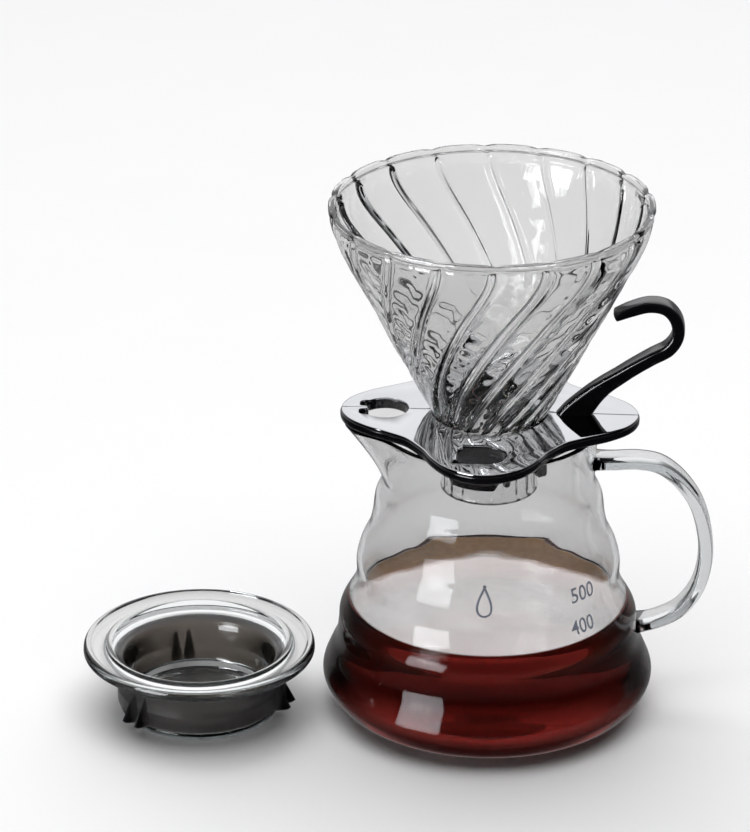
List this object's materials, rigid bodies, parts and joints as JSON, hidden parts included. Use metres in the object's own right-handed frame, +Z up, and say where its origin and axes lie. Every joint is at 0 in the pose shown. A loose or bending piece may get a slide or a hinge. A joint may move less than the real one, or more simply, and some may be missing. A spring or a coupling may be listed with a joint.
{
  "type": "pour over dripper",
  "caption": "Ribbed glass cone dripper on a mirror-faced plate with a hook handle, standing on a bulging glass server that holds coffee, with the server's dished glass lid beside it.",
  "frame": {"origin": "centre of the server's flat foot, on the surface that the set stands on", "axes": "+Z up through the server and the dripper, +X along the server's handle, -Y to the front"},
  "size_m": [0.2294, 0.1206, 0.1964],
  "materials": {
    "server_glass": "clear blown glass",
    "dripper_glass": "clear pressed glass with spiral ribs",
    "lid_glass": "clear pressed glass",
    "coffee": "dark red-brown liquid with a mirror-flat top",
    "black_plastic": "glossy black",
    "mirror_cover": "mirror polished",
    "screw_steel": "plain",
    "white_silicone": "matt silicone",
    "grey_silicone": "translucent dark grey silicone"
  },
  "bodies": {
    "server": {"server_glass": "server_glass", "server_handle": "server_glass", "coffee": "coffee"},
    "base": {"base_plate": "black_plastic", "cover_front": "mirror_cover", "cover_rear": "mirror_cover", "handle": "black_plastic", "handle_screw_1": "screw_steel", "handle_screw_2": "screw_steel", "outlet_gasket": "white_silicone"},
    "cone": {"dripper_glass": "dripper_glass"},
    "ring": {"lock_ring": "black_plastic"},
    "lid": {"lid_glass": "lid_glass", "lid_gasket": "grey_silicone"}
  },
  "joints": [
    {"name": "dripper_lift", "type": "slide", "parent": "server", "child": "base", "axis": [0, 0, 1], "range_m": [0, 0.12]},
    {"name": "cone_lift", "type": "slide", "parent": "base", "child": "cone", "axis": [0, 0, 1], "range_m": [0, 0.05]},
    {"name": "ring_turn", "type": "hinge", "parent": "base", "child": "ring", "pos_m": [0, 0, 0.1], "axis": [0, 0, 1], "range_deg": [0, 60]},
    {"name": "lid_lift", "type": "slide", "parent": "server", "child": "lid", "axis": [0, 0, 1], "range_m": [0, 0.1]}
  ]
}
